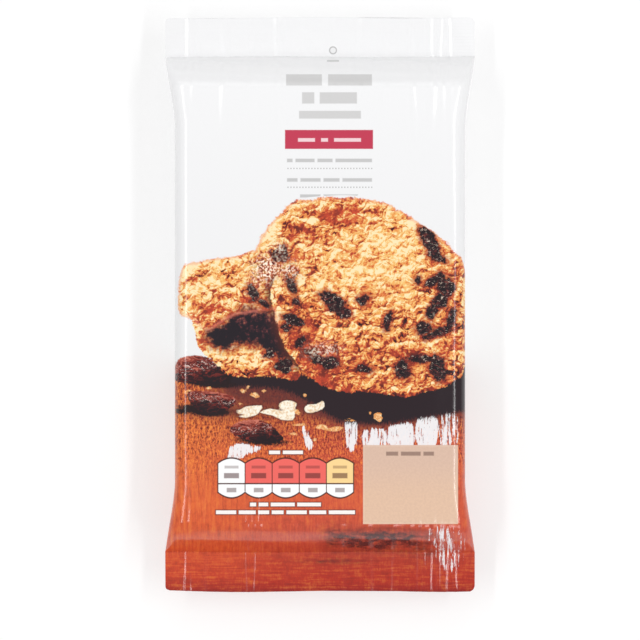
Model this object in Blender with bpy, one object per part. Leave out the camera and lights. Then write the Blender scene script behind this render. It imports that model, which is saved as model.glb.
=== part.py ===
"""A flow-wrapped pack of biscuits, lying on its back with the printed front up.

One closed solid, "pack": a soft box of film drawn over a shallow tray, closed
by a flat crimped fin at each end. The film comes down from the tray's edge in a
ramp at each end and tucks in at the sides as a gusset. A lengthwise seal lies
folded flat against the back.

Frame: the origin is the middle of the footprint on the plane that the pack
lies on, +Y runs to the top end of the front, +Z runs out of the front.
Sizes below are in millimetres.
"""

import math

import bpy

MM = 0.001

# body
LENGTH = 262.0  # over both end fins
WIDTH = 130.0  # of the filled body
DEPTH = 40.0  # flat back to the crown of the front
CROWN = 1.6  # how far the middle of the front stands above its long edges
FRONT_RADIUS = 6.5  # soft corner along the front's long edges
BACK_RADIUS = 6.0  # corner along the back's long edges

# end fins
FIN_LENGTH = 18.0
FIN_WIDTH = 141.0
FIN_THICK = 1.0
FIN_HEIGHT = 18.0  # of the fin's middle above the back
RIB_PITCH = 3.75  # crimp ribs across the fin
RIB_STEP = 0.28

# ends of the body
RAMP = 17.0  # length from the tray's edge to the fin
RAMP_POWER = 1.8
GUSSET = 9.0  # how far the side is tucked in, at its deepest
WRINKLE = 0.55  # height of the gathers that run into the fins

# lengthwise seal, folded flat on the back
SEAL_ROOT = 8.0
SEAL_EDGE = -7.0
SEAL_GROOVE = 0.4
GROOVE_HALF = 0.5

# facets
FRONT_STEPS = 32
CORNER_STEPS = 4
SIDE_STEPS = 4
BODY_STEPS = 22
RAMP_STEPS = 8
FIN_STEPS = 8

FIN_ROOT = LENGTH / 2 - FIN_LENGTH
RAMP_START = FIN_ROOT - RAMP


def stations():
    """Places along Y, from the bottom fin to the top fin."""
    half = [FIN_ROOT + FIN_LENGTH * i / FIN_STEPS for i in range(FIN_STEPS, 0, -1)]
    half += [RAMP_START + RAMP * i / RAMP_STEPS for i in range(RAMP_STEPS, 0, -1)]
    body = [
        -RAMP_START + 2 * RAMP_START * i / BODY_STEPS for i in range(BODY_STEPS + 1)
    ]
    return [-y for y in half] + body + half[::-1]


def ramp(y):
    """0 on the body, 1 on the fins."""
    return min(max((abs(y) - RAMP_START) / RAMP, 0.0), 1.0)


def mix(a, b, t):
    return a + (b - a) * t


def rib(y):
    """Zigzag of the crimp, zero at the fin's root and over the body."""
    along = abs(y) - FIN_ROOT
    if along <= 0:
        return 0.0
    phase = (along / RIB_PITCH) % 1.0
    return RIB_STEP * (1 - abs(2 * phase - 1)) - RIB_STEP / 2


def gathers(x, y):
    """Soft folds in the front that start on the body and run into the fins."""
    near = max(0.0, 1 - (RAMP_START + RAMP * 0.45 - abs(y)) / 34.0)
    fade = max(0.0, 1 - max(0.0, ramp(y) - 0.45) / 0.55)
    side = 1.0 if y > 0 else -1.0
    wave = (
        math.sin(x * 0.31 + 1.1 * side)
        + 0.6 * math.sin(x * 0.53 + 2.3 + side)
        + 0.4 * math.sin(x * 0.17 - 0.7 * side)
    )
    return WRINKLE * wave * min(near, 1.0) ** 2 * fade


def half_width(y):
    """Half the width of the front panel's outline."""
    flare = min(max((abs(y) - (RAMP_START - 16)) / (RAMP + 16), 0.0), 1.0)
    return mix(WIDTH / 2, FIN_WIDTH / 2, flare**1.4)


def levels(y):
    """Heights of the back and of the front's long edges."""
    t = ramp(y) ** RAMP_POWER
    back = mix(0.0, FIN_HEIGHT - FIN_THICK / 2, t)
    front = mix(DEPTH - CROWN, FIN_HEIGHT + FIN_THICK / 2, t)
    return back, front


def back_places():
    """x of each point across the flat back, with a groove at each seal line."""
    edge = WIDTH / 2 - BACK_RADIUS
    left = [-edge, -46.0, -33.0, -20.0]
    seal = []
    for line in (SEAL_EDGE, SEAL_ROOT):
        seal += [line - GROOVE_HALF, line, line + GROOVE_HALF]
    right = [20.0, 33.0, 46.0, edge]
    return left + seal + right


def section(y):
    """The ring of points round the pack at one station, seen along -Y."""
    t = ramp(y)
    w = half_width(y)
    back, front = levels(y)
    rise = (front - back) / (DEPTH - CROWN)
    r_front = FRONT_RADIUS * rise
    r_back = BACK_RADIUS * rise
    crown = CROWN * (1 - t)
    tuck = GUSSET * math.sin(math.pi * min(max((t - 0.04) / 0.96, 0.0), 1.0)) ** 0.8
    dz = rib(y)
    ring = []

    # front, left to right, with its crown and gathers
    flat = w - r_front
    for i in range(FRONT_STEPS + 1):
        x = mix(-flat, flat, i / FRONT_STEPS)
        bow = crown * (1 - (x / w) ** 2)
        ease = min(1.0, (flat - abs(x)) / 12.0)
        ring.append((x, front + bow * ease + gathers(x, y) * ease))

    def corner(sign, radius, level, up):
        """Quarter round from the panel's edge to the side, or back again."""
        points = []
        for i in range(1, CORNER_STEPS + 1):
            a = math.pi / 2 * i / CORNER_STEPS
            x = w - radius + radius * math.sin(a)
            z = level + up * (radius * math.cos(a) - radius)
            points.append((sign * x, z))
        return points

    def side(sign):
        """Side wall from front to back, tucked in along its middle."""
        top = front - r_front
        low = back + r_back
        points = []
        for i in range(1, SIDE_STEPS):
            v = i / SIDE_STEPS
            depth = tuck * (1 - abs(2 * v - 1))
            points.append((sign * (w - depth), mix(top, low, v)))
        return points

    ring += corner(1, r_front, front, 1)
    ring += side(1)
    low_right = corner(1, r_back, back, -1)
    ring += low_right[::-1]

    # back, right to left, narrowed or widened with the outline
    scale = (w - r_back) / (WIDTH / 2 - BACK_RADIUS)
    places = back_places()
    depth = mix(SEAL_GROOVE, 0.15, t)
    for x in places[::-1]:
        groove = depth if x in (SEAL_EDGE, SEAL_ROOT) else 0.0
        ring.append((x * scale if abs(x) > 15 else x, back + groove))

    ring += corner(-1, r_back, back, -1)
    ring += side(-1)[::-1]
    ring += corner(-1, r_front, front, 1)[::-1]
    return [(x, y, z + dz) for x, z in ring]


def film():
    """Glossy printed film."""
    material = bpy.data.materials.new("printed_film")
    material.use_nodes = True
    surface = material.node_tree.nodes["Principled BSDF"]
    surface.inputs["Base Color"].default_value = (0.6, 0.13, 0.06, 1)
    surface.inputs["Roughness"].default_value = 0.3
    surface.inputs["Metallic"].default_value = 0.0
    return material


def build():
    rings = [section(y) for y in stations()]
    count = len(rings[0])
    points = [(x * MM, y * MM, z * MM) for ring in rings for x, y, z in ring]
    faces = []
    for j in range(len(rings) - 1):
        a, b = j * count, (j + 1) * count
        for i in range(count):
            n = (i + 1) % count
            faces.append((a + i, a + n, b + n, b + i))
    faces.append(tuple(reversed(range(count))))
    last = (len(rings) - 1) * count
    faces.append(tuple(last + i for i in range(count)))
    mesh = bpy.data.meshes.new("pack")
    mesh.from_pydata(points, [], faces)
    mesh.validate()
    mesh.update()
    mesh.shade_smooth()
    mesh.set_sharp_from_angle(angle=math.radians(40))
    mesh.materials.append(film())
    pack = bpy.data.objects.new("pack", mesh)
    parts = bpy.data.collections.new("biscuit_pack")
    bpy.context.scene.collection.children.link(parts)
    parts.objects.link(pack)


for old in list(bpy.data.objects):
    bpy.data.objects.remove(old, do_unlink=True)
build()
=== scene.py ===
"""Looks of a flow-wrapped biscuit pack that lies on its back.

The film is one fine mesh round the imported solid. Its print is a set of colour
fields and simple shapes, drawn by shader nodes on a flat print sheet.
"""

import math

import bpy
import numpy as np
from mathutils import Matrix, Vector


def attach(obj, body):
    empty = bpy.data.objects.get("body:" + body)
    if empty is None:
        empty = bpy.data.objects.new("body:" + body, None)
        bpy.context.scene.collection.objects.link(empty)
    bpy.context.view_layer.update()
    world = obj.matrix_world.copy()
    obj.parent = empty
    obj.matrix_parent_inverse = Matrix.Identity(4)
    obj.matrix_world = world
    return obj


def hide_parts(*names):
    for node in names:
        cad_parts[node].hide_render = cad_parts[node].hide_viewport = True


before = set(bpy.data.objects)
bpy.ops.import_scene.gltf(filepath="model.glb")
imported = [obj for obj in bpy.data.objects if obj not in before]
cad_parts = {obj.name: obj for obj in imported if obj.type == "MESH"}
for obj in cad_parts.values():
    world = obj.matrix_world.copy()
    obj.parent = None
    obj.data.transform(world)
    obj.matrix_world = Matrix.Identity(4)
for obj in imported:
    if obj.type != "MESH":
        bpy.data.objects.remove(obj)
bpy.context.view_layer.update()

MM = 0.001

# ---------------------------------------------------------------- film, in mm
LENGTH = 262.0
WIDTH = 130.0
DEPTH = 40.0
CROWN = 1.6
FRONT_RADIUS = 6.5
BACK_RADIUS = 6.0
FIN_LENGTH = 18.0
FIN_WIDTH = 141.0
FIN_THICK = 0.5
FIN_HEIGHT = 18.0
FIN_CORNER = 2.6
RIB_PITCH = 1.5
RIB_STEP = 0.09
RAMP = 17.0
RAMP_POWER = 1.8
GUSSET = 9.0
SEAL_LOW, SEAL_HIGH = -7.0, 8.0  # sides of the folded seal on the back
SEAL_DEEP = 0.45

CORNER_STEPS = 8
SIDE_STEPS = 14
FIN_ROOT = LENGTH / 2 - FIN_LENGTH
RAMP_START = FIN_ROOT - RAMP

# print sheet: units of 0.444 mm, X to the right, Y down
UNIT = 0.444
SHEET_X, SHEET_Y = 320.0, 320.0
SHEET_ORIGIN_Y = -7.1  # mm, where the sheet's Y is SHEET_Y
VIEW_HEIGHT = 789.0  # mm, of the camera above the front
FRONT_LEVEL = 39.0


def stations():
    half = list(np.linspace(LENGTH / 2, FIN_ROOT, 33))[:-1]
    half += list(np.linspace(FIN_ROOT, RAMP_START, 27))[:-1]
    body = list(np.linspace(-RAMP_START, RAMP_START, 201))
    return np.array([-y for y in half] + body + half[::-1])


def smooth(a, b, x):
    t = np.clip((x - a) / (b - a), 0.0, 1.0)
    return t * t * (3 - 2 * t)


def crease_set():
    """(side, x, slant, half width, height, reach) of each gather at both ends.

    Most sides slope by about a quarter, so that they catch a long lamp.
    """
    bottom = [
        (-61.0, 0.02, 1.1, 0.27, 34),
        (-58.2, 0.02, 1.2, 0.33, 46),
        (-50.0, 0.02, 2.6, 0.24, 24),
        (-41.0, -0.02, 2.2, 0.20, 20),
        (-32.6, 0.00, 1.0, 0.25, 30),
        (-29.4, 0.015, 1.0, 0.27, 44),
        (-26.9, 0.01, 1.1, 0.29, 50),
        (-13.0, 0.03, 2.8, 0.24, 20),
        (-2.0, -0.02, 2.2, 0.18, 16),
        (9.0, 0.02, 2.6, 0.26, 22),
        (22.0, -0.03, 1.8, 0.30, 22),
        (32.0, 0.02, 1.4, 0.34, 12),
        (40.5, 0.01, 1.2, 0.32, 5),
        (43.6, -0.01, 1.3, 0.36, 8),
        (46.9, 0.01, 1.2, 0.30, 4),
        (50.2, -0.015, 1.4, 0.38, 9),
        (53.6, 0.01, 1.3, 0.33, 5),
        (57.2, 0.01, 1.4, 0.37, 12),
        (61.4, 0.0, 1.2, 0.32, 46),
    ]
    top = [
        (-60.0, 0.02, 1.5, 0.38, 42),
        (-56.4, -0.02, 1.6, 0.36, 30),
        (-43.0, 0.03, 2.2, 0.40, 34),
        (-30.0, -0.01, 2.4, 0.30, 24),
        (-19.0, 0.02, 1.8, 0.40, 36),
        (-6.0, -0.02, 2.6, 0.26, 22),
        (5.0, 0.02, 2.0, 0.32, 26),
        (17.0, 0.01, 1.8, 0.40, 32),
        (29.0, -0.03, 2.4, 0.30, 26),
        (41.0, 0.02, 1.5, 0.38, 40),
        (50.0, -0.02, 2.0, 0.44, 34),
        (54.4, -0.01, 1.4, 0.36, 30),
        (58.2, 0.01, 1.5, 0.40, 46),
    ]
    return [(-1.0, *c) for c in bottom] + [(1.0, *c) for c in top]


CREASES = crease_set()


def front_relief(x, y):
    """Height of the gathers and of the film's slackness over the front, in mm."""
    t = np.clip((abs(y) - RAMP_START) / RAMP, 0, 1)
    z = np.zeros_like(x)
    for side, x0, slant, half, high, reach in CREASES:
        if side * y <= 0:
            continue
        into = FIN_ROOT - abs(y)  # distance from the fin's root into the body
        along = smooth(RAMP + reach, RAMP * 0.6, into)
        wander = 0.45 * math.sin(into * 0.12 + x0)
        d = (x - x0 - slant * max(into, 0.0) - wander) / half
        z = z + high * along * np.clip(1.15 - np.sqrt(d * d + 0.03), 0, 1)
    # slack between the gathers, and the faint lumps of what is inside
    z = z + (0.22 * np.sin(x * 0.085 + 0.6) * math.sin(y * 0.052 + 0.9)) * (1 - t)
    z = z + (0.16 * np.sin(x * 0.041 + 1.9) * math.sin(y * 0.083 - 0.4)) * (1 - t)
    return z


def half_width(y):
    flare = min(max((abs(y) - (RAMP_START - 16)) / (RAMP + 16), 0.0), 1.0)
    w = WIDTH / 2 + (FIN_WIDTH - WIDTH) / 2 * flare**1.4
    past = abs(y) - (LENGTH / 2 - FIN_CORNER)
    if past > 0:
        w -= FIN_CORNER * (1 - math.sqrt(max(0.0, 1 - (past / FIN_CORNER) ** 2))) * 0.8
    return w


def back_places():
    """x across the back from its middle to the left edge, and to the right edge."""
    edge = WIDTH / 2 - BACK_RADIUS
    left = [0.0, -3.5, SEAL_LOW + 0.3, SEAL_LOW - 0.1, SEAL_LOW - 0.5]
    left += list(np.linspace(-12, -edge, 14))
    right = [0.0, 4.0, SEAL_HIGH - 0.3, SEAL_HIGH + 0.1, SEAL_HIGH + 0.5]
    right += list(np.linspace(13, edge, 14))
    return left, right


BACK_LEFT, BACK_RIGHT = back_places()


def front_places():
    """Shares of the half width at which the front is cut, closer at the creases."""
    flat = WIDTH / 2 - FRONT_RADIUS
    out = [-flat]
    while out[-1] < flat:
        x = out[-1]
        close = x < -50 or -35 < x < -24 or x > 38
        out.append(x + (0.46 if close else 0.80))
    out[-1] = flat
    return np.array(out) / flat


FRONT_SHARES = front_places()


def section(y):
    """One ring round the pack from the middle of its back: x, z and print reach.

    The ring runs up the left side, across the front and down the right side.
    """
    t = min(max((abs(y) - RAMP_START) / RAMP, 0.0), 1.0)
    tp = t**RAMP_POWER
    w = half_width(y)
    back = (FIN_HEIGHT - FIN_THICK / 2) * tp
    front = (DEPTH - CROWN) + (FIN_HEIGHT + FIN_THICK / 2 - DEPTH + CROWN) * tp
    rise = (front - back) / (DEPTH - CROWN)
    rf, rb = FRONT_RADIUS * rise, BACK_RADIUS * rise
    tuck = GUSSET * math.sin(math.pi * min(max((t - 0.04) / 0.96, 0.0), 1.0)) ** 0.8
    crown = CROWN * (1 - t)

    def back_line(places):
        scale = (w - rb) / (WIDTH / 2 - BACK_RADIUS)
        out = []
        for x in places:
            seal = SEAL_LOW - 0.2 < x < SEAL_HIGH + 0.2
            xx = x * scale if abs(x) > 12.5 else x
            out.append((xx, back + (SEAL_DEEP * (1 - 0.8 * t) if seal else 0.0)))
        return out

    def low_corner(sign):
        out = []
        for i in range(1, CORNER_STEPS + 1):
            a = math.pi / 2 * i / CORNER_STEPS
            out.append((sign * (w - rb + rb * math.sin(a)), back + rb - rb * math.cos(a)))
        return out

    def wall(sign):
        """From the low corner up to the high one."""
        low, high = back + rb, front - rf
        out = []
        for i in range(1, SIDE_STEPS):
            v = i / SIDE_STEPS
            fold = 1 - abs(2 * v - 1)
            depth = tuck * fold**1.1
            bulge = 0.35 * math.sin(math.pi * v) * (1 - t) * (1 + 0.8 * math.sin(y * 0.155 + 1.3 * sign))
            out.append((sign * (w - depth + bulge), low + (high - low) * v))
        return out

    def high_corner(sign):
        out = []
        for i in range(0, CORNER_STEPS):
            a = math.pi / 2 * (1 - i / CORNER_STEPS)
            out.append((sign * (w - rf + rf * math.sin(a)), front - rf + rf * math.cos(a)))
        return out

    left = back_line(BACK_LEFT) + low_corner(-1) + wall(-1) + high_corner(-1)
    right = back_line(BACK_RIGHT) + low_corner(1) + wall(1) + high_corner(1)
    flat = w - rf
    xf = FRONT_SHARES * flat
    ease = np.clip((flat - abs(xf)) / 9.0, 0, 1)
    ease = ease * ease * (3 - 2 * ease)
    zf = front + crown * (1 - abs(xf / flat) ** 3)
    zf = zf + front_relief(xf, y) * (0.25 + 0.75 * ease)
    ring = np.array(left + list(zip(xf, zf)) + right[::-1][:-1])
    count_left, count_front = len(left), len(xf)

    # print reach: straight across the front, then along the film down the sides
    x, z = ring[:, 0], ring[:, 1]
    seen = VIEW_HEIGHT / (VIEW_HEIGHT + FRONT_LEVEL - z)
    reach = x * seen
    keep = CORNER_STEPS // 2
    first = count_left - keep
    last = count_left + count_front - 1 + keep
    step = np.hypot(np.diff(x), np.diff(z))
    for i in range(first - 1, -1, -1):
        reach[i] = reach[i + 1] - step[i]
    for i in range(last + 1, len(ring)):
        reach[i] = reach[i - 1] + step[i - 1]
    return x, z, reach, seen, first, last


def build_film():
    ys = stations()
    rings, reaches, downs = [], [], []
    for y in ys:
        x, z, reach, seen, first, last = section(y)
        along = abs(y) - FIN_ROOT
        if along > 0:  # crimp ribs, and a soft wave over the whole fin
            phase = (along / RIB_PITCH) % 1.0
            z = z + RIB_STEP * (0.5 - 0.5 * math.cos(2 * math.pi * phase)) * smooth(0, 1, along)
            wave = np.sin(x * 0.052 + (0.4 if y > 0 else 2.1)) + 0.5 * np.sin(x * 0.117 + 1.0)
            z = z + 0.7 * wave * (along / FIN_LENGTH) ** 1.3
        end = np.full_like(x, y)
        if abs(y) > RAMP_START:  # the cut ends are not quite straight
            k = (abs(y) - RAMP_START) / (LENGTH / 2 - RAMP_START)
            end = end - math.copysign(1, y) * k * 0.35 * (1 + np.sin(x * 0.07 + y))
        rings.append(np.stack([x, end, z], 1))
        # the sheet runs straight along the pack, drawn in a little where it lies lower
        scale = np.ones_like(x)
        scale[first : last + 1] = seen[first : last + 1]
        scale[:first] = seen[first]
        scale[last + 1 :] = seen[last]
        reaches.append(SHEET_X + reach / UNIT)
        downs.append(SHEET_Y - (end - SHEET_ORIGIN_Y) * scale / UNIT)
    co = np.array(rings)
    rows, count = co.shape[:2]
    sheet_x, sheet_y = np.array(reaches), np.array(downs)

    faces = []
    for j in range(rows - 1):
        a, b = j * count, (j + 1) * count
        for i in range(count):
            n = (i + 1) % count
            faces.append((a + i, a + n, b + n, b + i))
    faces.append(tuple(reversed(range(count))))
    last_row = (rows - 1) * count
    faces.append(tuple(last_row + i for i in range(count)))
    mesh = bpy.data.meshes.new("film")
    mesh.from_pydata((co.reshape(-1, 3) * MM).tolist(), [], faces)
    mesh.update()

    # unrolled map for baking, with the front given most of its width
    step = np.hypot(*np.diff(co[rows // 2][:, [0, 2]], axis=0).T)
    step = np.append(step, np.hypot(*(co[rows // 2][0] - co[rows // 2][-1])[[0, 2]]))
    z_mid = co[rows // 2][:, 2]
    weight = np.where(z_mid > DEPTH - FRONT_RADIUS - 1.5, 2.6, 1.0)
    run = np.concatenate([[0.0], np.cumsum(step * weight)])
    u = 0.004 + 0.992 * run / run[-1]
    lift = np.abs(np.diff(co[:, count // 2, :][:, [1, 2]], axis=0))
    run_v = np.concatenate([[0.0], np.cumsum(np.hypot(*lift.T))])
    v = 0.006 + 0.988 * run_v / run_v[-1]

    bake = mesh.uv_layers.new(name="OFBake")
    sheet = mesh.uv_layers.new(name="print")
    jj, ii = np.meshgrid(np.arange(rows - 1), np.arange(count), indexing="ij")
    jj, ii = jj.ravel(), ii.ravel()
    corner_i = np.stack([ii, ii + 1, ii + 1, ii], 1)
    corner_j = np.stack([jj, jj, jj + 1, jj + 1], 1)
    bake_uv = np.stack([u[corner_i], v[corner_j]], 2).reshape(-1, 2)
    around = corner_i % count
    px = sheet_x[corner_j, around]
    wrap = corner_i == count  # past the middle of the back
    px = np.where(wrap, sheet_x[corner_j, count - 1] + step[-1] / UNIT, px)
    py = sheet_y[corner_j, around]
    sheet_uv = np.stack([px, py], 2).reshape(-1, 2)
    order = list(reversed(range(count)))
    cap0 = np.stack([u[order], np.full(count, v[0] - 0.002)], 1)
    cap1 = np.stack([u[:count], np.full(count, v[-1] + 0.002)], 1)
    cap0s = np.stack([sheet_x[0, order], sheet_y[0, order]], 1)
    cap1s = np.stack([sheet_x[-1], sheet_y[-1]], 1)
    bake.data.foreach_set("uv", np.concatenate([bake_uv, cap0, cap1]).astype(np.float32).ravel())
    sheet.data.foreach_set("uv", np.concatenate([sheet_uv, cap0s, cap1s]).astype(np.float32).ravel())
    mesh.uv_layers.active = bake
    bake.active_render = True

    ob = bpy.data.objects.new("film", mesh)
    bpy.context.scene.collection.objects.link(ob)
    mesh.shade_smooth()
    mesh.set_sharp_from_angle(angle=math.radians(62))
    return ob, sheet_x.ravel(), sheet_y.ravel()


film, PX, PY = build_film()

# ------------------------------------------------ shapes of the printed picture


def curve_through(points, steps=6):
    """A closed smooth outline through a few named corners."""
    p = np.array(points, float)
    out = []
    for i in range(len(p)):
        a, b, c, d = p[i - 1], p[i], p[(i + 1) % len(p)], p[(i + 2) % len(p)]
        for k in range(steps):
            t = k / steps
            out.append(
                0.5
                * (
                    2 * b
                    + (c - a) * t
                    + (2 * a - 5 * b + 4 * c - d) * t**2
                    + (3 * b - a - 3 * c + d) * t**3
                )
            )
    return np.array(out)


def outline(points, steps=6):
    """Signed distance from a smooth closed outline, negative inside, on the sheet."""
    p = curve_through(points, steps)
    q = np.roll(p, -1, axis=0)
    best = np.full(PX.shape, 1e9)
    inside = np.zeros(PX.shape, bool)
    for (ax, ay), (bx, by) in zip(p, q):
        ex, ey = bx - ax, by - ay
        t = np.clip(((PX - ax) * ex + (PY - ay) * ey) / (ex * ex + ey * ey + 1e-9), 0, 1)
        best = np.minimum(best, np.hypot(PX - ax - t * ex, PY - ay - t * ey))
        crosses = ((ay > PY) != (by > PY)) & (PX < ex * (PY - ay) / (by - ay + 1e-12) + ax)
        inside ^= crosses
    return np.where(inside, -best, best)


def blob(cx, cy, rx, ry, turn=0.0, wobble=0.08, seed=0):
    """Signed distance from a wobbly oval, close to true near its edge."""
    rng = np.random.default_rng(seed)
    c, s = math.cos(turn), math.sin(turn)
    u = ((PX - cx) * c + (PY - cy) * s) / rx
    v = (-(PX - cx) * s + (PY - cy) * c) / ry
    a = np.arctan2(v, u)
    edge = np.ones_like(a)
    for k in range(2, 6):
        edge = edge + wobble / (k - 1) * np.cos(k * a + rng.uniform(0, 6.28))
    return (np.hypot(u, v) - edge) * min(rx, ry)


def glow(cx, cy, rx, ry, turn=0.0):
    """A soft spot, 1 in its middle."""
    c, s = math.cos(turn), math.sin(turn)
    u = ((PX - cx) * c + (PY - cy) * s) / rx
    v = (-(PX - cx) * s + (PY - cy) * c) / ry
    return np.exp(-(u * u + v * v))


def store(name, values):
    a = film.data.attributes.new(name, "FLOAT", "POINT")
    a.data.foreach_set("value", np.asarray(values, np.float32))


def clipped(values, far=60.0):
    return np.clip(values, -far, far)


BIG = [(303, 202), (319, 198.5), (345, 197.5), (366, 199), (391, 206), (425, 227), (447, 244), (466, 266), (478, 300), (478, 345), (466, 371), (446, 386), (425, 392), (402, 397), (366, 392), (338, 391), (315, 381), (300, 368), (284, 345), (274, 312), (271, 290), (279, 268), (283, 247), (282, 228), (291, 212)]
RIM = [(303, 200), (290, 205), (274, 220), (261, 238), (253, 257), (250, 280), (262, 305), (290, 300), (320, 215)]
TOP = [(187, 264), (198, 262), (217, 258), (238, 256), (256, 250), (276, 262), (286, 300), (272, 309), (250, 313), (232, 316), (220, 324), (206, 330), (193, 320), (182, 315), (177.5, 303), (179, 286), (181, 271)]
LOW = [(193, 316), (206, 304), (240, 300), (278, 300), (296, 350), (298, 379), (282, 378), (262, 376), (246, 378), (229, 375), (214, 362), (204, 354), (198, 346), (195, 332)]
GAP = [(207, 335), (216, 329), (228, 322), (238, 314), (252, 310), (268, 312), (277, 322), (285, 344), (290, 358), (277, 354), (262, 347), (250, 342.5), (236, 343.5), (226, 348), (214, 345)]
SHADE = [(222, 372), (262, 374), (296, 374), (330, 380), (400, 386), (446, 378), (468, 360), (484, 362), (498, 366), (509, 374), (512, 386), (503, 400), (486, 408), (466, 411), (425, 418), (385, 424), (344, 422), (323, 412), (303, 399), (280, 390), (250, 387), (230, 386)]

big, rim, top, low = outline(BIG), outline(RIM), outline(TOP), outline(LOW)
store("sd_big", clipped(big))
store("sd_rim", clipped(rim))
store("sd_top", clipped(top))
store("sd_low", clipped(low))
store("sd_gap", clipped(outline(GAP)))
store("sd_shade", clipped(outline(SHADE)))

raisins = [
    blob(428, 239, 7.5, 12, -0.45, 0.12, 1), blob(434, 251, 7, 8, -0.6, 0.14, 2), blob(441, 259, 5, 4, 0.3, 0.16, 31),
    blob(434, 280, 9, 4.5, -0.5, 0.2, 3), blob(446, 287, 7.5, 11, 0.3, 0.18, 4), blob(440, 300, 8, 6, -0.7, 0.2, 38), blob(432, 311, 5.5, 7, 0.4, 0.18, 39),
    blob(424, 328, 8, 6, -0.4, 0.12, 5), blob(451, 319, 4.5, 9, 0.3, 0.12, 6), blob(439, 332, 13, 4, -0.3, 0.14, 32),
    blob(402, 370, 9, 7.5, 0.2, 0.18, 7), blob(422, 359, 14, 3.6, 0.05, 0.12, 8), blob(438, 369, 8.5, 11.5, -0.3, 0.12, 33),
    blob(333, 302, 12, 8.5, 0.35, 0.18, 9), blob(344, 313, 6, 6, 0.3, 0.2, 34), blob(327, 296, 6, 4, 0.0, 0.2, 10),
    blob(280, 254, 8, 8.5, -0.3, 0.14, 11), blob(291, 285, 4, 8, -0.5, 0.15, 12), blob(296, 302, 4, 4, 0.2, 0.2, 47),
    blob(293, 320, 9, 6, 0.1, 0.24, 13), blob(286, 328, 5, 4, 0.3, 0.2, 46),
    blob(326, 362, 12, 6, 0.1, 0.2, 14), blob(312, 352, 6, 4, 0.2, 0.2, 36),
    blob(364, 369, 7, 3.5, 0, 0.15, 15), blob(388, 321, 4, 7, 0.3, 0.18, 16), blob(363, 300, 6, 5, 0.4, 0.2, 48),
    blob(253.5, 293, 8, 5.5, 0.85, 0.14, 17), blob(262, 302, 7, 2.6, 0.85, 0.14, 35),
    blob(284, 366, 9, 6, 0.2, 0.18, 18), blob(270, 353, 6, 4, 0.0, 0.14, 19),
    blob(418, 281, 3.5, 3, 0.3, 0.2, 37), blob(300, 342, 4, 6, 0.4, 0.2, 71),
]
store("sd_raisin", clipped(np.minimum.reduce(raisins)))

LOOSE_A = [(172, 368), (179, 359), (192, 355.5), (206, 357), (217, 362), (225, 371), (227, 380), (214, 385), (195, 384), (180, 382), (170, 379)]
LOOSE_B = [(187, 393), (198, 391), (215, 392), (232, 396), (236, 403), (224, 411), (206, 413), (193, 406)]
LOOSE_C = [(230, 428), (241, 421), (257, 419.5), (270, 424), (279, 433), (283, 440), (264, 443), (243, 439), (233, 434)]
loose = np.minimum.reduce([outline(LOOSE_A), outline(LOOSE_B), outline(LOOSE_C)])
store("sd_loose", clipped(loose))
# how far each loose raisin has turned into its own shade
turn = np.select(
    [PY < 388, PY < 417],
    [(PY - 369) / 13 + (PX - 205) / 45, (PY - 402) / 9 - (PX - 212) / 60],
    (PY - 431) / 10 + (PX - 262) / 60,
)
store("loose_turn", np.clip(turn, -2, 2))
under = np.minimum.reduce([blob(210, 383, 24, 5, 0.08, 0.06, 41), blob(205, 410, 26, 6, 0.04, 0.08, 42), blob(182, 411, 12, 2.5, 0, 0.1, 43), blob(262, 441, 24, 4, 0.08, 0.06, 44), blob(226, 373, 7, 9, 0, 0.1, 45)])
store("sd_under", clipped(under))

flakes = [
    outline([(234, 411), (241, 409.5), (246, 406.5), (262, 405.5), (260, 411), (256, 415), (248, 416), (243, 414)], 2),
    outline([(260, 412.5), (270, 408.5), (281, 410.5), (295, 407.5), (295, 413), (293, 420), (281, 419.5), (273, 415.5)], 2),
    outline([(279, 404), (285, 400.5), (292, 401), (297, 404), (293, 408.5), (281, 408.5)], 2),
    outline([(304, 409), (308, 404.5), (317, 404), (323, 400.5), (324.5, 407), (318, 411), (308, 413)], 2),
    blob(245, 416, 6, 1.6, 0, 0.1, 51),
]
store("sd_flake", clipped(np.minimum.reduce(flakes)))
crumbs = [
    blob(378, 417, 5, 4, 0.2, 0.15, 52), blob(322, 427, 5, 3, 0.1, 0.2, 53), blob(335, 429, 8, 2.4, 0.0, 0.2, 54),
    blob(297, 412, 3, 2.4, 0.4, 0.2, 55), blob(243, 391, 3, 1.8, 0, 0.2, 56), blob(255, 395, 4.5, 2.4, 0, 0.2, 57), blob(248, 387, 2, 1.5, 0, 0.1, 58),
    blob(264, 391, 2.6, 1.4, 0, 0.1, 59), blob(209, 388, 3, 1.5, 0, 0.1, 60), blob(188, 392, 4, 1.8, 0, 0.2, 61), blob(305, 395, 1.8, 1.8, 0, 0.1, 62),
    blob(240, 404, 2, 1.2, 0, 0.1, 63), blob(349, 420, 6, 1.2, 0, 0.2, 64), blob(300, 424.5, 6, 1.6, 0, 0.2, 65), blob(294, 434, 4, 1.6, 0.2, 0.2, 66),
    blob(315, 439.5, 2, 1.6, 0, 0.1, 67), blob(370, 413, 1.6, 1.2, 0, 0.1, 68), blob(258, 421.5, 8, 1.6, 0.1, 0.2, 69), blob(236, 428, 4, 1.4, 0.4, 0.2, 70),
]
store("sd_crumb", clipped(np.minimum.reduce(crumbs)))

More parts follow.
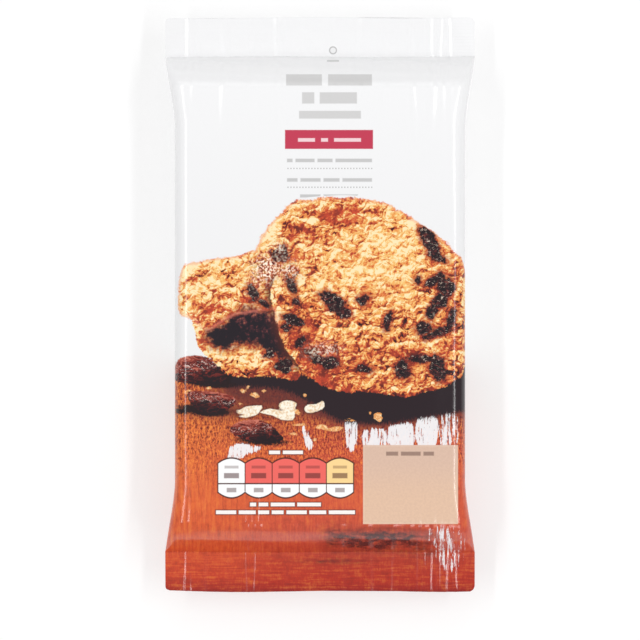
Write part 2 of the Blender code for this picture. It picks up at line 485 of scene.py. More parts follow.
# broad light and shade of the biscuits: >0 lighter
tone = np.zeros_like(PX)
on_big, on_rim = big < 0, (big >= 0) & (rim < 0)
on_top = (big >= 0) & (rim >= 0) & (top < 0)
big_tone = (
    -0.17 * glow(332, 356, 44, 22, 0.4)
    - 0.10 * glow(305, 226, 28, 14)
    + 0.20 * glow(390, 250, 46, 40, 0.4)
    + 0.12 * glow(320, 243, 44, 12, 0.1)
    + 0.12 * glow(322, 283, 36, 16, 0.5)
    + 0.10 * glow(390, 345, 40, 14, 0.2)
    + 0.10 * glow(350, 290, 30, 20)
    + 0.10 * glow(420, 300, 18, 16)
    + 0.12 * glow(300, 215, 14, 8, -0.6)
    - 0.30 * glow(352, 213, 16, 10, 0.3)
    - 0.41 * glow(340, 225, 12, 5, 0.4)
    - 0.41 * glow(308, 232, 20, 6, 0.3)
    - 0.22 * glow(325, 213, 22, 7, 0.2)
    - 0.30 * glow(286, 232, 8, 14)
    - 0.19 * glow(303, 256, 12, 8)
    - 0.14 * glow(352, 254, 14, 7)
    - 0.24 * glow(364, 300, 9, 10)
    - 0.19 * glow(381, 290, 10, 5)
    - 0.24 * glow(388, 312, 16, 6, 0.4)
    - 0.27 * glow(300, 330, 16, 14)
    - 0.27 * glow(318, 352, 22, 9, 0.4)
    - 0.24 * glow(322, 376, 26, 10, 0.5)
    - 0.22 * glow(400, 352, 24, 6, 0.1)
    - 0.27 * glow(436, 292, 16, 14)
    - 0.22 * glow(446, 330, 14, 12)
    - 0.27 * glow(424, 362, 26, 9, 0.1)
    - 0.22 * glow(458, 262, 9, 14)
)
face = (PY - 300) / 100.0
big_tone = big_tone - 0.08 * face - 0.30 * smooth(-9, 0, big) * smooth(-0.2, 0.8, face) + 0.10 * smooth(-10, -3, big) * smooth(0.1, -0.8, face) * 1.0
left_lip = smooth(-10, -3, big) * (PX < 306) * (PY > 286)
big_tone = big_tone + 0.30 * left_lip - 0.12 * glow(296, 316, 14, 26, 0.3)
rim_tone = 0.42 * glow(272, 230, 26, 34, -0.7) - 0.25 * glow(272, 262, 16, 14) - 0.1 * glow(262, 288, 14, 14) + 0.05
top_tone = (
    0.14
    + 0.20 * smooth(-13, -3, top) * smooth(285, 268, PY)
    + 0.30 * smooth(-11, -3, top) * smooth(201, 190, PX)
    + 0.10 * glow(222, 286, 30, 10)
    - 0.10 * glow(222, 276, 12, 4)
    - 0.24 * glow(192, 281, 6.5, 4)
    - 0.14 * glow(224, 299, 9, 4, -0.5)
    - 0.20 * glow(248, 278, 16, 10)
    - 0.16 * smooth(296, 312, PY) * smooth(196, 206, PX)
    - 0.18 * glow(204, 312, 10, 9)
    - 0.16 * smooth(-6, 0, top) * (PY > 306)
)
low_tone = (
    0.10
    + 0.14 * glow(245, 358, 34, 9)
    + 0.12 * smooth(-10, -3, low) * (PX < 214)
    - 0.46 * smooth(364, 378, PY)
    - 0.20 * glow(280, 360, 14, 9)
    - 0.26 * glow(211, 334, 7, 7)
    - 0.20 * glow(199, 355, 8, 8)
)
tone = np.select([on_big, on_rim, on_top], [big_tone, rim_tone, top_tone], low_tone)
store("tone", tone)

warm = (
    0.4 * glow(330, 356, 44, 22, 0.4)
    + 0.9 * glow(352, 212, 18, 11, 0.3) + 0.7 * glow(325, 216, 20, 9, 0.2) + 0.6 * glow(300, 236, 24, 10, 0.2)
    + 0.5 * glow(305, 256, 12, 9) + 0.4 * glow(352, 254, 14, 8) + 0.5 * glow(364, 299, 11, 11) + 0.4 * glow(381, 289, 10, 6)
    + 0.4 * glow(270, 300, 14, 20) + 0.6 * glow(193, 280, 9, 6) + 0.5 * glow(222, 300, 22, 8) + 0.6 * glow(205, 318, 22, 10)
    + 0.6 * glow(240, 312, 30, 10) + 0.4 * glow(300, 375, 30, 18, 0.6) + 0.5 * glow(330, 385, 40, 8, 0.2) + 0.4 * glow(400, 352, 30, 8)
    + 0.4 * glow(450, 275, 14, 22) + 0.5 * glow(448, 345, 20, 12) + 0.4 * glow(420, 385, 40, 8) + 0.3 * glow(300, 330, 18, 18)
    + 0.5 * glow(200, 345, 10, 16) + 0.4 * glow(272, 366, 20, 12)
)
store("warm", np.clip(warm, 0, 1))
store("sugar", np.clip(1.0 * glow(268, 268, 13, 9, 0.6) + 0.4 * glow(279, 249, 7, 7) + 0.5 * glow(326, 349, 12, 5) + 0.3 * glow(312, 352, 7, 5) + 0.5 * glow(291, 270, 10, 8, 0.6) + 0.4 * glow(258, 280, 8, 8), 0, 1))
store("smear", np.clip(1.1 * glow(390, 539, 42, 10) + 0.9 * glow(366, 541, 22, 8) + 0.55 * glow(332, 561, 34, 2.6) + 0.5 * glow(334, 538, 12, 14) + 0.35 * glow(425, 552, 16, 10), 0, 1))
# pale patches of printed sheen; the last, under the box, is partly a painted highlight of the film's glare
sheen_and_painted_glare = np.maximum.reduce(
    [
        1.0 * smooth(1.5, -2.5, outline([(344, 424), (350, 421), (357, 423), (358, 437), (354, 451), (350, 453), (346, 442)], 3)),
        0.9 * smooth(1.5, -2.5, outline([(362, 432), (372, 428), (385, 429), (387, 446), (363, 446)], 3)),
        1.0 * smooth(1.5, -2.5, outline([(388, 427), (400, 423), (413, 424), (414, 446), (389, 446)], 3)),
        1.0 * smooth(1.5, -2.5, outline([(415.5, 421), (426, 416), (437, 416), (439, 430), (435, 446), (417, 446)], 3)),
        0.62 * smooth(3, -5, outline([(438, 416), (456, 412), (461, 430), (458, 446), (438, 446)], 3)),
        1.0 * smooth(1.5, -2.5, outline([(226, 456), (231, 446), (240, 443), (252, 444), (263, 447), (258, 451), (248, 455), (240, 460), (228, 462)], 3)),
        0.95 * smooth(1.5, -2, outline([(301, 428), (305, 426), (309, 436), (313, 445), (309, 451), (304, 442)], 3)),
        # under the box: printed sheen and partly a painted highlight where the film's gathers catch the light
        0.50 * smooth(4, -6, outline([(428, 527), (460, 527), (464, 545), (462, 566), (446, 572), (432, 552)], 3)),
    ]
)
store("sheen_and_painted_glare", sheen_and_painted_glare)
store("rugged", np.clip(1.0 - 0.75 * glow(375, 258, 62, 44, 0.3) - 0.3 * glow(330, 285, 30, 18), 0, 1))
store("dusk", np.clip(np.exp(-np.maximum(outline(SHADE), 0) / 9.0) * (PY > 378) + 0.75 * glow(262, 396, 46, 12) + 0.7 * glow(215, 412, 36, 8) + 0.45 * glow(300, 410, 46, 9) + 0.4 * glow(258, 432, 34, 12), 0, 1))

# --------------------------------------------------------------- shader helper


def lin(r, g, b):
    """sRGB 0-255 to a linear colour."""
    out = []
    for c in (r, g, b):
        c = c / 255
        out.append(c / 12.92 if c <= 0.04045 else ((c + 0.055) / 1.055) ** 2.4)
    return (*out, 1.0)


class Field:
    """A number that varies over the surface, as a node socket."""

    def __init__(self, net, socket):
        self.net, self.socket = net, socket

    def __add__(self, o):
        return self.net.math("ADD", self, o)

    __radd__ = __add__

    def __mul__(self, o):
        return self.net.math("MULTIPLY", self, o)

    __rmul__ = __mul__

    def __sub__(self, o):
        return self.net.math("SUBTRACT", self, o)

    def __rsub__(self, o):
        return self.net.math("SUBTRACT", o, self)

    def __truediv__(self, o):
        return self.net.math("DIVIDE", self, o)

    def __neg__(self):
        return self.net.math("MULTIPLY", self, -1.0)


class Net:
    def __init__(self, name):
        self.material = bpy.data.materials.new(name)
        self.material.use_nodes = True
        self.tree = self.material.node_tree
        self.surface = self.tree.nodes["Principled BSDF"]
        self.saved = {}

    def add(self, kind, **props):
        node = self.tree.nodes.new(kind)
        for k, v in props.items():
            setattr(node, k, v)
        return node

    def feed(self, socket, value):
        if isinstance(value, Field):
            self.tree.links.new(value.socket, socket)
        elif hasattr(value, "is_linked"):
            self.tree.links.new(value, socket)
        else:
            socket.default_value = value

    def math(self, op, a, b=0.0, c=None, clamp=False):
        node = self.add("ShaderNodeMath", operation=op, use_clamp=clamp)
        self.feed(node.inputs[0], a)
        self.feed(node.inputs[1], b)
        if c is not None:
            self.feed(node.inputs[2], c)
        return Field(self, node.outputs[0])

    def lo(self, *fields):
        out = fields[0]
        for f in fields[1:]:
            out = self.math("MINIMUM", out, f)
        return out

    def hi(self, *fields):
        out = fields[0]
        for f in fields[1:]:
            out = self.math("MAXIMUM", out, f)
        return out

    def attr(self, name):
        if name not in self.saved:
            node = self.add("ShaderNodeAttribute", attribute_name=name)
            self.saved[name] = Field(self, node.outputs["Fac"])
        return self.saved[name]

    def soft(self, a, b, x):
        """0 where x is at a, 1 where it is at b, eased."""
        node = self.add("ShaderNodeMapRange", interpolation_type="SMOOTHSTEP")
        if a < b:
            values = (a, b, 0.0, 1.0)
        else:
            values = (b, a, 1.0, 0.0)
        self.feed(node.inputs["Value"], x)
        for name, value in zip(("From Min", "From Max", "To Min", "To Max"), values):
            node.inputs[name].default_value = value
        return Field(self, node.outputs["Result"])

    def vector(self, x, y, z=0.0):
        node = self.add("ShaderNodeCombineXYZ")
        for socket, value in zip(node.inputs, (x, y, z)):
            self.feed(socket, value)
        return node.outputs[0]

    def noise(self, vector, scale=1.0, detail=2.0, rough=0.5, distort=0.0):
        node = self.add("ShaderNodeTexNoise", noise_dimensions="2D")
        self.tree.links.new(vector, node.inputs["Vector"])
        node.inputs["Scale"].default_value = scale
        node.inputs["Detail"].default_value = detail
        node.inputs["Roughness"].default_value = rough
        node.inputs["Distortion"].default_value = distort
        return Field(self, node.outputs[0])

    def mix(self, fac, a, b, how="MIX"):
        node = self.add("ShaderNodeMix", data_type="RGBA", blend_type=how)
        self.feed(node.inputs[0], fac)
        self.feed(node.inputs[6], a)
        self.feed(node.inputs[7], b)
        return node.outputs[2]

    def ramp(self, fac, stops):
        node = self.add("ShaderNodeValToRGB")
        band = node.color_ramp
        while len(band.elements) > 1:
            band.elements.remove(band.elements[-1])
        band.elements[0].position, band.elements[0].color = stops[0]
        for place, colour in stops[1:]:
            band.elements.new(place).color = colour
        self.feed(node.inputs[0], fac)
        return node.outputs[0]


def box_field(n, X, Y, x0, x1, y0, y1):
    """Distance inside a rectangle: positive within it."""
    cx, cy = (x0 + x1) / 2, (y0 + y1) / 2
    dx = (x1 - x0) / 2 - n.math("ABSOLUTE", X - cx)
    dy = (y1 - y0) / 2 - n.math("ABSOLUTE", Y - cy)
    return n.lo(dx, dy)


def words(n, X, Y, x0, x1, y, high, gaps):
    """A row of short plain dashes that stand where words were, broken at the gaps."""
    field = box_field(n, X, Y, x0, x1, y - high / 2, y + high / 2)
    for g, half in gaps:
        field = n.lo(field, n.math("ABSOLUTE", X - g) - half)
    return field


def draw_print(n):
    """The film's colour, all from fields on the print sheet."""
    uv = n.add("ShaderNodeUVMap", uv_map="print")
    split = n.add("ShaderNodeSeparateXYZ")
    n.tree.links.new(uv.outputs[0], split.inputs[0])
    X, Y = Field(n, split.outputs[0]), Field(n, split.outputs[1])
    P = n.vector(X, Y)

    # shared fine noises
    fine = n.noise(P, 0.42, 3, 0.6)
    mid = n.noise(n.vector(X, Y, 0), 0.11, 4, 0.6)
    broad = n.noise(n.vector(X + 300, Y), 0.022, 3, 0.5)
    hair = n.noise(n.vector(X * 0.75 + mid * 3, Y * 0.20), 1.0, 3, 0.65)
    streak = n.noise(n.vector(X * 0.34, Y * 0.035), 1.0, 4, 0.6)
    across = n.noise(n.vector(X * 0.03, Y * 0.42), 1.0, 3, 0.6)

    # plain film
    white = n.ramp(
        (Y - 20) / 400,
        [(0.0, lin(246, 246, 247)), (0.5, lin(240, 240, 241)), (1.0, lin(237, 237, 237))],
    )
    col = white

    # board, printed; the darkest last stops of both ramps, along the fin's cut edge, are painted shade
    depth = (Y - 360) / 232
    left = n.ramp(
        depth,
        [
            (0.0, lin(160, 66, 38)),
            (0.15, lin(194, 82, 44)),
            (0.30, lin(216, 102, 50)),
            (0.60, lin(222, 98, 50)),
            (0.82, lin(212, 82, 46)),
            (0.93, lin(200, 66, 38)),
            # this stop and the next: painted shade along the fin's cut edge
            (0.985, lin(168, 44, 30)),
            (1.0, lin(140, 30, 24)),
        ],
    )
    right = n.ramp(
        depth,
        [
            (0.0, lin(146, 60, 40)),
            (0.15, lin(176, 70, 46)),
            (0.34, lin(204, 80, 54)),
            (0.60, lin(212, 88, 56)),
            (0.80, lin(200, 74, 54)),
            (0.825, lin(196, 72, 50)),
            (0.86, lin(188, 58, 38)),
            (0.95, lin(182, 46, 28)),
            # this stop and the next: painted shade along the fin's cut edge
            (0.985, lin(164, 36, 26)),
            (1.0, lin(134, 24, 20)),
        ],
    )
    board = n.mix(n.soft(180, 330, X + (broad - 0.5) * 120), left, right)
    fuzz = n.soft(500, 420, Y)
    lift = (hair - 0.5) * (0.45 + fuzz * 4.2) + (fine - 0.5) * (0.2 + fuzz * 2.6)
    above = n.soft(562, 545, Y)
    lift = lift + (streak - 0.5) * (above * 0.55 + 0.15) + (across - 0.5) * (1 - above) * 0.85
    lift = lift + n.soft(250, 180, X) * (streak - 0.45) * above * n.soft(595, 500, Y) * 0.9
    lift = lift + (mid - 0.5) * 0.6
    board = n.mix(n.math("MULTIPLY", lift, 1.0, clamp=True), board, lin(250, 148, 64))
    board = n.mix(n.math("MULTIPLY", lift, -1.15, clamp=True), board, lin(96, 26, 22))
    dusk = n.math("MULTIPLY", n.attr("dusk") * (0.25 + hair * 1.2 + (fine - 0.5) * 1.2), 1.0, clamp=True)
    board = n.mix(dusk, board, lin(92, 40, 38))
    drag = n.noise(n.vector(X * 0.10 + mid, Y * 0.24), 1.0, 4, 0.6)
    smear = n.math("MULTIPLY", n.attr("smear") * ((drag - 0.5) * 3.4 + (fine - 0.5) * 0.9 + 0.98), 0.9, clamp=True)
    board = n.mix(smear, board, lin(78, 34, 34))
    # pale patches: printed sheen where the board mirrors a bright wall, and under the box partly a painted highlight of
    # the film's glare
    comb = n.noise(n.vector(X * 0.38, Y * 0.040 + 9), 1.0, 4, 0.72)
    sheen_and_painted_glare_mix = n.soft(0.0, 0.22, n.attr("sheen_and_painted_glare") * 0.86 - 0.44 + (comb - 0.5) * 2.5 + (fine - 0.5) * 0.5)
    sheen_and_painted_glare_mix = sheen_and_painted_glare_mix * n.soft(0.02, 0.3, n.attr("sheen_and_painted_glare"))
    board = n.mix(sheen_and_painted_glare_mix * 0.9, board, lin(244, 244, 246))
    col = n.mix(n.soft(361, 368, Y + (mid - 0.5) * 14), col, board)

    # soft dark ground under the biscuits
    shade = n.attr("sd_shade") + (hair - 0.5) * 14 + (fine - 0.5) * 4
    col = n.mix(n.soft(2.5, -2.5, shade), col, lin(34, 18, 26))
    col = n.mix(n.soft(1.6, -1.4, n.attr("sd_under") + (fine - 0.5) * 4), col, lin(30, 8, 12))

    # oat flakes and crumbs
    flake = n.attr("sd_flake") + (fine - 0.5) * 1.6
    col = n.mix(n.soft(2.2, 0.3, flake) * 0.6, col, lin(70, 26, 22), "DARKEN")
    oat = n.mix(n.soft(0.30, 0.62, fine + (mid - 0.5) * 0.6), lin(232, 200, 160), lin(253, 245, 228))
    col = n.mix(n.soft(0.5, -0.5, flake), col, oat)
    crumb = n.attr("sd_crumb") + (fine - 0.5) * 2.6
    col = n.mix(n.soft(0.4, -0.4, crumb), col, n.mix(n.soft(0.4, 0.65, fine), lin(226, 150, 84), lin(250, 214, 160)))

    # loose raisins
    loose = n.attr("sd_loose") + (fine - 0.5) * 2.4
    wrinkle = n.noise(n.vector(X * 0.15 + mid * 2, Y * 0.30), 1.0, 4, 0.66, 0.8)
    shine = wrinkle - n.attr("loose_turn") * 0.16
    skin = n.ramp(
        shine,
        [
            (0.36, lin(26, 8, 16)),
            (0.46, lin(58, 14, 18)),
            (0.56, lin(104, 28, 24)),
            (0.68, lin(150, 58, 44)),
            (0.80, lin(206, 120, 100)),
        ],
    )
    vein = n.math("ABSOLUTE", n.noise(n.vector(X * 0.22 + mid * 3, Y * 0.30), 1.0, 3, 0.6, 0.6) - 0.5)
    glint = n.soft(0.030, 0.008, vein) * n.soft(0.25, -0.15, n.attr("loose_turn")) * n.soft(-0.95, -0.6, n.attr("loose_turn")) * n.soft(0.44, 0.60, fine)
    skin = n.mix(glint * 0.9, skin, lin(255, 226, 214))
    col = n.mix(n.soft(0.6, -0.6, loose), col, skin)

    # biscuits: lumps and crags lit from the top
    warp_x = (n.noise(n.vector(X + 91, Y + 17), 0.070, 2, 0.5) - 0.5) * 15
    warp_y = (n.noise(n.vector(X + 13, Y + 57), 0.070, 2, 0.5) - 0.5) * 15
    grit = n.noise(n.vector(X + 5, Y + 31), 0.27, 3, 0.62)

    def relief(scale, detail, rough, dx, dy, seed):
        """How much a noise's slope faces the light."""
        a = n.noise(n.vector(X + warp_x * 0.6 + (seed + dx), Y + warp_y * 0.6 + (seed + dy)), scale, detail, rough)
        b = n.noise(n.vector(X + warp_x * 0.6 + (seed - dx), Y + warp_y * 0.6 + (seed - dy)), scale, detail, rough)
        return a - b

    def lumps(scale, seed):
        """Rounded crumbs: how far each faces up, its own lightness, and its rim."""
        place = n.vector(X + warp_x + seed, (Y + warp_y) * 1.18 + seed)
        cell = n.add("ShaderNodeTexVoronoi", voronoi_dimensions="2D", feature="F1")
        n.tree.links.new(place, cell.inputs["Vector"])
        cell.inputs["Scale"].default_value = scale
        cell.inputs["Randomness"].default_value = 1.0
        away = n.add("ShaderNodeVectorMath", operation="SUBTRACT")
        n.tree.links.new(place, away.inputs[0])
        n.tree.links.new(cell.outputs["Position"], away.inputs[1])
        parts = n.add("ShaderNodeSeparateXYZ")
        n.tree.links.new(away.outputs[0], parts.inputs[0])
        facing = (Field(n, parts.outputs[1]) * -0.9 - Field(n, parts.outputs[0]) * 0.35) * scale * 1.5
        tint = n.add("ShaderNodeSeparateColor")
        n.tree.links.new(cell.outputs["Color"], tint.inputs[0])
        rim = n.add("ShaderNodeTexVoronoi", voronoi_dimensions="2D", feature="DISTANCE_TO_EDGE")
        n.tree.links.new(place, rim.inputs["Vector"])
        rim.inputs["Scale"].default_value = scale
        rim.inputs["Randomness"].default_value = 1.0
        return facing, Field(n, tint.outputs[0]), Field(n, rim.outputs["Distance"])

    face_a, own_a, rim_a = lumps(0.070, 0.0)
    face_b, own_b, rim_b = lumps(0.17, 37.0)
    face_c, own_c, _ = lumps(0.40, 71.0)
    slope_a = relief(0.055, 2, 0.5, 1.4, 2.6, 0.0)
    slope_b = relief(0.13, 3, 0.55, 0.5, 1.1, 40.0)
    slope_c = relief(0.36, 2, 0.5, 0.2, 0.45, 80.0)
    rugged = n.attr("rugged")
    hollow = n.soft(0.50, 0.34, n.noise(n.vector(X + 200, (Y + 50) * 1.2), 0.085, 3, 0.6)) * (0.4 + rugged * 0.6)
    open_b = n.soft(0.16, 0.0, rim_b) * n.soft(0.46, 0.62, mid) * (0.3 + rugged * 0.7)
    t = 0.71 + n.attr("tone") * 0.94 + slope_a * 0.85 + slope_b * 1.25 + slope_c * 0.7
    t = t + (face_a * 0.24 + face_b * 0.21) * (0.35 + rugged * 0.65) + face_c * 0.11
    t = t + (own_a - 0.5) * 0.14 + (own_b - 0.5) * 0.14 + (own_c - 0.5) * 0.10
    open_a = n.soft(0.15, 0.0, rim_a) * n.soft(0.44, 0.58, n.noise(n.vector(X + 20, Y + 150), 0.06, 2, 0.5)) * rugged
    t = t - hollow * 0.32 - open_b * 0.36 - open_a * 0.40 + (grit - 0.5) * 0.62 + (mid - 0.5) * 0.35
    dough = n.ramp(
        t,
        [
            (0.00, lin(30, 10, 18)),
            (0.14, lin(74, 28, 30)),
            (0.26, lin(152, 60, 38)),
            (0.38, lin(212, 100, 50)),
            (0.50, lin(235, 142, 70)),
            (0.63, lin(243, 174, 92)),
            (0.78, lin(248, 198, 118)),
            (0.94, lin(251, 217, 150)),
            (1.00, lin(254, 232, 184)),
        ],
    )
    ruddy = n.attr("warm") + n.soft(0.56, 0.40, n.noise(n.vector(X + 60, Y + 90), 0.12, 3, 0.6)) * 0.55
    baked = n.mix(n.math("MULTIPLY", ruddy * n.soft(0.95, 0.45, t), 0.62, clamp=True), dough, lin(206, 72, 44))
    dust = n.noise(n.vector(X + 3, Y + 8), 0.44, 2, 0.6)
    pink = n.ramp(
        dust * 3.0 - 1.02 + (own_c - 0.5) * 0.5,
        [(0.14, lin(92, 28, 28)), (0.38, lin(186, 80, 54)), (0.60, lin(242, 180, 138)), (0.78, lin(255, 244, 226))],
    )
    edge = (mid - 0.5) * 6 + (fine - 0.5) * 3.4

    def lay(name, under, keep=1.0):
        """A biscuit over what lies behind it, with a thin dark line where it casts."""
        sd = n.attr(name) + edge
        rim_dark = n.soft(3.2, 0.2, sd) * keep
        under = n.mix(rim_dark, under, lin(84, 34, 26))
        return n.mix(n.soft(0.55, -0.55, sd), under, baked)

    col = lay("sd_low", col, 0.0)
    gap = n.attr("sd_gap") + (mid - 0.5) * 16 + (fine - 0.5) * 5
    pit = n.ramp(
        (mid - 0.5) * 1.8 + (grit - 0.5) * 1.8 + (338 - Y) * 0.014 + (X - 250) * 0.004,
        [(0.12, lin(26, 16, 26)), (0.36, lin(54, 25, 34)), (0.60, lin(98, 48, 50)), (0.82, lin(160, 90, 72))],
    )
    col = lay("sd_top", col, n.soft(300, 318, Y) * n.soft(196, 214, X) * 0.85)
    col = n.mix(n.soft(9, 1, gap) * 0.75, col, lin(164, 64, 42))
    col = n.mix(n.soft(4, -1, gap) * 0.75, col, lin(92, 34, 36))
    col = n.mix(n.soft(2.0, -2.4, gap), col, pit)
    col = lay("sd_rim", col, 0.0)
    behind = n.soft(1.0, -2.0, n.lo(n.attr("sd_low"), n.attr("sd_top"), n.attr("sd_rim")))
    beside = n.soft(345, 320, X) * n.soft(262, 285, Y) * behind
    col = n.mix(n.soft(11, 0.5, n.attr("sd_big") + (mid - 0.5) * 8) * beside * 0.72, col, lin(78, 30, 24))
    col = lay("sd_big", col, beside)

    whole = n.lo(n.attr("sd_big"), n.attr("sd_rim"), n.attr("sd_top")) + edge
    col = n.mix(n.soft(2.4, 0.2, n.math("ABSOLUTE", whole + 0.9)) * n.soft(345, 320, Y) * 0.42, col, lin(236, 132, 112))

    # raisins baked in
    sink = n.attr("sd_raisin") + (fine - 0.5) * 3.6 + (mid - 0.5) * 7
    onb = n.soft(1.0, -1.0, n.lo(n.attr("sd_big"), n.attr("sd_top"), n.attr("sd_low")))
    col = n.mix(n.soft(4.4, 0.8, sink) * onb * 0.8, col, lin(184, 70, 40), "DARKEN")
    col = n.mix(n.soft(1.6, -0.4, sink) * onb * 0.9, col, lin(84, 26, 26), "DARKEN")
    onb = n.hi(onb, n.soft(1.0, -1.0, n.attr("sd_rim")))
    fold = n.math("ABSOLUTE", n.noise(n.vector(X * 0.16 + mid * 2, Y * 0.22 + 5), 1.0, 3, 0.6, 0.8) - 0.5)
    dull = n.ramp(
        n.noise(n.vector(X * 0.22, Y * 0.30), 1.0, 3, 0.6, 0.8),
        [(0.42, lin(18, 7, 14)), (0.56, lin(46, 18, 24)), (0.68, lin(92, 36, 34)), (0.82, lin(140, 70, 60))],
    )
    dull = n.mix(n.soft(0.024, 0.004, fold) * n.soft(0.50, 0.62, grit) * 0.8, dull, lin(252, 226, 204))
    col = n.mix(n.soft(0.8, -0.8, sink) * onb, col, dull)
    grains = n.math("MULTIPLY", n.attr("sugar") * (0.6 + own_c * 1.3), 1.0, clamp=True)
    col = n.mix(grains * onb, col, pink)
    return X, Y, col, fine, mid, hair, streak


def draw_panels(n, X, Y, col, fine, streak):
    """Plain panels, and plain dashes where words stood."""
    dark = lin(74, 34, 30)

    # pale box at the lower right
    box = box_field(n, X, Y, 363, 458, 445, 524)
    card = n.mix(n.soft(455, 500, Y), lin(220, 188, 168), lin(228, 193, 166))
    card = n.mix(n.soft(0.3, 0.7, fine) * 0.22, card, lin(200, 164, 144))
    col = n.mix(n.soft(-0.5, 0.5, box), col, card)
    col = n.mix(n.soft(1.1, 0.3, n.math("ABSOLUTE", box - 0.9)) * 0.15, col, lin(250, 226, 206))
    note = words(n, X, Y, 386, 434, 453.6, 4.2, [(399.5, 1.3), (422, 1.3)])
    col = n.mix(n.soft(-0.5, 0.7, note) * 0.62, col, lin(96, 66, 58))

    # row of five arched lozenges
    f = (X - 218) / 27.1
    cell = n.math("FLOOR", f)
    u = (f - cell) * 2 - 1
    arch = u * u
    top_d = Y - (arch * 5.2 + 458)
    low_d = (497.8 - arch * 5.6) - Y
    side_d = (1 - n.math("ABSOLUTE", u)) * 13.55
    row = n.math("MULTIPLY", n.soft(-0.02, 0.02, f), n.soft(5.02, 4.98, f))
    d = n.lo(top_d, low_d, side_d + 0.25)
    col = n.mix(n.soft(-1.5, -0.2, d) * n.soft(-0.05, 0.0, f) * n.soft(5.05, 5.0, f), col, dark)
    red, amber, plain = lin(240, 104, 96), lin(252, 214, 148), lin(252, 252, 252)
    fill = n.mix(n.soft(0.45, 0.55, cell), plain, red)
    fill = n.mix(n.soft(3.45, 3.55, cell), fill, amber)
    fill = n.mix(n.soft(483.2, 484.0, Y), fill, plain)
    inside = n.soft(0.3, 1.1, d) * row
    col = n.mix(inside, col, fill)
    rule = n.soft(1.0, 0.3, n.math("ABSOLUTE", Y - 483.6)) * n.soft(0.0, 0.6, d) * row
    col = n.mix(rule, col, dark)
    au = n.math("ABSOLUTE", u)
    ink = lin(90, 40, 40)
    label = n.lo(0.52 - au, (1.5 - n.math("ABSOLUTE", Y - 467.0)) / 13)
    value = n.lo(0.56 - au, (2.7 - n.math("ABSOLUTE", Y - 475.6)) / 13)
    share = n.lo(0.36 - au, (2.3 - n.math("ABSOLUTE", Y - 490.0)) / 13)
    col = n.mix(n.soft(-0.03, 0.04, label) * row * 0.45, col, ink)
    col = n.mix(n.soft(-0.03, 0.04, value) * row * 0.72, col, ink)
    col = n.mix(n.soft(-0.03, 0.04, share) * row * 0.62, col, ink)

    # rows of pale dashes above and below the lozenges
    rows = n.hi(
        words(n, X, Y, 269, 303, 452.3, 3.6, [(281.5, 1.3)]),
        words(n, X, Y, 250, 321, 504.4, 3.8, [(257.5, 1.2), (269.5, 1.2), (296, 1.2)]),
        words(n, X, Y, 216, 355, 512.2, 3.8, [(237.5, 1.2), (257, 1.2), (270.5, 1.2), (285, 1.4), (308, 1.2), (327.5, 1.2)]),
    )
    col = n.mix(n.soft(-1.6, -0.1, rows) * 0.8, col, dark)
    col = n.mix(n.soft(-0.35, 0.45, rows), col, lin(250, 244, 240))

    # head of the pack: rows of thin plain strokes, a band, rows of dashes
    grey = lin(120, 117, 114)

    head = n.hi(
        words(n, X, Y, 286, 372, 80.0, 11.5, [(325, 3.0)]),
        words(n, X, Y, 302, 357, 98.0, 11.5, [(317, 2.6)]),
        words(n, X, Y, 299, 361, 114.8, 8.0, []),
    )
    col = n.mix(n.soft(-0.4, 0.6, head) * 0.42, col, lin(150, 147, 144))
    band = box_field(n, X, Y, 285, 373, 130, 149)
    col = n.mix(n.soft(-0.5, 0.5, band), col, lin(196, 58, 84))
    pale = words(n, X, Y, 298, 361, 140.0, 3.6, [(318, 3.0), (331, 3.0)])
    col = n.mix(n.soft(-0.4, 0.5, pale) * 0.85, col, lin(250, 226, 230))
    lines = n.hi(
        words(n, X, Y, 287, 372, 160.5, 3.6, [(294, 1.4), (316, 1.4), (334, 1.4)]),
        words(n, X, Y, 287, 372, 180.0, 3.6, [(299, 1.4), (322, 1.4), (341, 1.4)]),
        words(n, X, Y, 300, 358, 196.0, 3.2, [(322, 1.4)]) - n.soft(3.0, -1.0, n.attr("sd_big")) * 9,
    )
    col = n.mix(n.soft(-0.5, 0.6, lines) * 0.5, col, lin(140, 138, 136))
    rule_y = n.lo(n.math("ABSOLUTE", Y - 168.5), n.math("ABSOLUTE", Y - 187.3))
    dots = n.math("SINE", X * 2.1)
    in_rule = n.soft(286, 287, X) * n.soft(373, 372, X)
    col = n.mix(n.soft(0.9, 0.3, rule_y) * n.soft(0.0, 0.6, dots) * in_rule * 0.6, col, grey)
    # a plain ring over the rows
    spots = n.math("SQRT", (X - 333) * (X - 333) + (Y - 50.5) * (Y - 50.5))
    col = n.mix(n.soft(4.4, 3.6, spots) * 0.55, col, grey)
    col = n.mix(n.soft(3.1, 2.5, spots) * 0.9, col, lin(243, 243, 244))
    short = box_field(n, X, Y, 327, 339, 60.2, 61.8)
    col = n.mix(n.soft(-0.4, 0.4, short) * 0.45, col, grey)
    return col


def film_material():
    n = Net("printed_film")
    X, Y, col, fine, mid, hair, streak = draw_print(n)
    col = draw_panels(n, X, Y, col, fine, streak)
    n.tree.links.new(col, n.surface.inputs["Base Color"])
    n.surface.inputs["Roughness"].default_value = 0.17
    n.surface.inputs["IOR"].default_value = 1.5
    # slight crinkle in the film
    coord = n.add("ShaderNodeTexCoord")
    crinkle = n.add("ShaderNodeTexNoise", noise_dimensions="3D")
    n.tree.links.new(coord.outputs["Object"], crinkle.inputs["Vector"])
    crinkle.inputs["Scale"].default_value = 70.0
    crinkle.inputs["Detail"].default_value = 3.0
    crinkle.inputs["Roughness"].default_value = 0.55
    bump = n.add("ShaderNodeBump")
    bump.inputs["Strength"].default_value = 0.22
    bump.inputs["Distance"].default_value = 0.0008
    n.tree.links.new(crinkle.outputs[0], bump.inputs["Height"])
    n.tree.links.new(bump.outputs[0], n.surface.inputs["Normal"])
    return n.material


film.data.materials.append(film_material())
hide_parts("pack")
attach(film, "root")


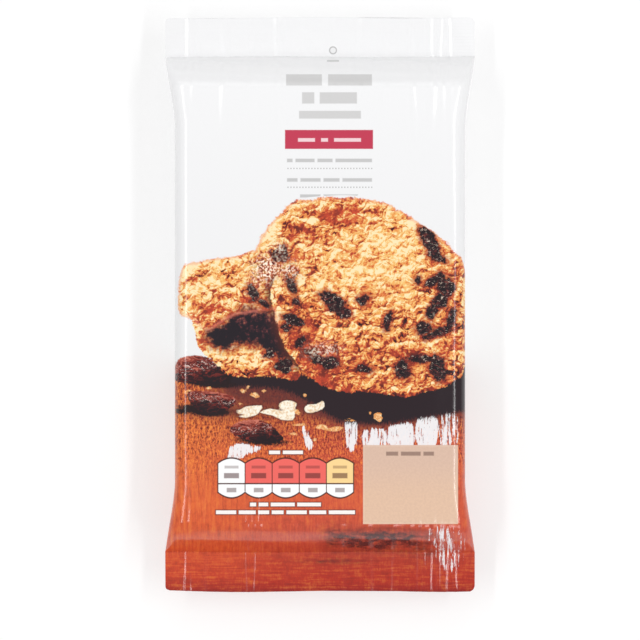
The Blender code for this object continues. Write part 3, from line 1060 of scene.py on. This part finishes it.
# ------------------------------------------------------- folded seal on the back
def build_seal():
    """Thin crimped strip folded flat into the back's shallow recess."""
    rows = 300
    reach = RAMP_START - 1.0
    xs = [SEAL_LOW + 0.15, SEAL_LOW + 0.6, -3.0, 0.5, 4.0, SEAL_HIGH - 0.6, SEAL_HIGH - 0.15]
    points, faces = [], []
    for j in range(rows + 1):
        y = -reach + 2 * reach * j / rows
        rib = 0.05 * (1 - math.cos(2 * math.pi * y / 1.6))
        for x in xs:
            points.append((x * MM, y * MM, (0.02 + rib * 0.5) * MM))
        for x in xs[::-1]:
            points.append((x * MM, y * MM, 0.36 * MM))
    n = 2 * len(xs)
    for j in range(rows):
        a, b = j * n, (j + 1) * n
        for i in range(n):
            k = (i + 1) % n
            faces.append((a + i, b + i, b + k, a + k))
    faces.append(tuple(range(n)))
    faces.append(tuple(rows * n + i for i in reversed(range(n))))
    mesh = bpy.data.meshes.new("back_seal")
    mesh.from_pydata(points, [], faces)
    mesh.update()
    ob = bpy.data.objects.new("back_seal", mesh)
    bpy.context.scene.collection.objects.link(ob)
    net = Net("seal_film")
    coord = net.add("ShaderNodeTexCoord")
    parts = net.add("ShaderNodeSeparateXYZ")
    net.tree.links.new(coord.outputs["Object"], parts.inputs[0])
    y = Field(net, parts.outputs[1])
    grain = net.noise(coord.outputs["Object"], 60.0, 3, 0.6)
    tint = net.mix(net.soft(-0.02, -0.024, y + (grain - 0.5) * 0.01), lin(243, 243, 243), lin(206, 92, 64))
    net.tree.links.new(tint, net.surface.inputs["Base Color"])
    net.surface.inputs["Roughness"].default_value = 0.3
    mesh.materials.append(net.material)
    return ob


seal = build_seal()
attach(seal, "root")


# ------------------------------------------------------------ floor and lights
def build_floor():
    bpy.ops.mesh.primitive_plane_add(size=30, location=(0, 0, -0.0004))
    floor = bpy.context.object
    floor.name = "floor"
    net = Net("floor")
    net.surface.inputs["Base Color"].default_value = (0.52, 0.52, 0.52, 1)
    net.surface.inputs["Roughness"].default_value = 0.9
    net.surface.inputs["Specular IOR Level"].default_value = 0.1
    net.surface.inputs["Emission Color"].default_value = (1, 1, 1, 1)
    net.surface.inputs["Emission Strength"].default_value = 0.48
    floor.data.materials.append(net.material)
    return floor


build_floor()


def aim(ob, target):
    ob.rotation_euler = (Vector(target) - ob.location).to_track_quat("-Z", "Y").to_euler()


def softbox(name, place, wide, high, power):
    data = bpy.data.lights.new(name, "AREA")
    data.shape = "RECTANGLE"
    data.size, data.size_y = wide, high
    data.energy = power
    data.color = (1, 1, 1)
    ob = bpy.data.objects.new(name, data)
    ob.location = place
    bpy.context.scene.collection.objects.link(ob)
    aim(ob, (0, 0, 0.02))
    return ob


softbox("strip_left", (-0.56, 0.02, 1.05), 1.3, 0.07, 4.0)
softbox("strip_right", (0.60, -0.06, 1.02), 1.3, 0.08, 4.4)
softbox("foot", (0.34, -1.05, 0.62), 0.35, 0.25, 1.6)
softbox("head", (-0.2, 1.3, 1.1), 1.2, 0.8, 3.0)

world = bpy.data.worlds.new("studio")
bpy.context.scene.world = world
world.use_nodes = True
world.node_tree.nodes["Background"].inputs[0].default_value = (1, 1, 1, 1)
world.node_tree.nodes["Background"].inputs[1].default_value = 0.50

scene = bpy.context.scene
scene.view_settings.view_transform = "Standard"

camera_data = bpy.data.cameras.new("camera")
camera_data.lens = 100
camera_data.sensor_width = 36
camera = bpy.data.objects.new("camera", camera_data)
camera.location = (0, SHEET_ORIGIN_Y * MM, (FRONT_LEVEL + VIEW_HEIGHT) * MM)
scene.collection.objects.link(camera)
scene.camera = camera
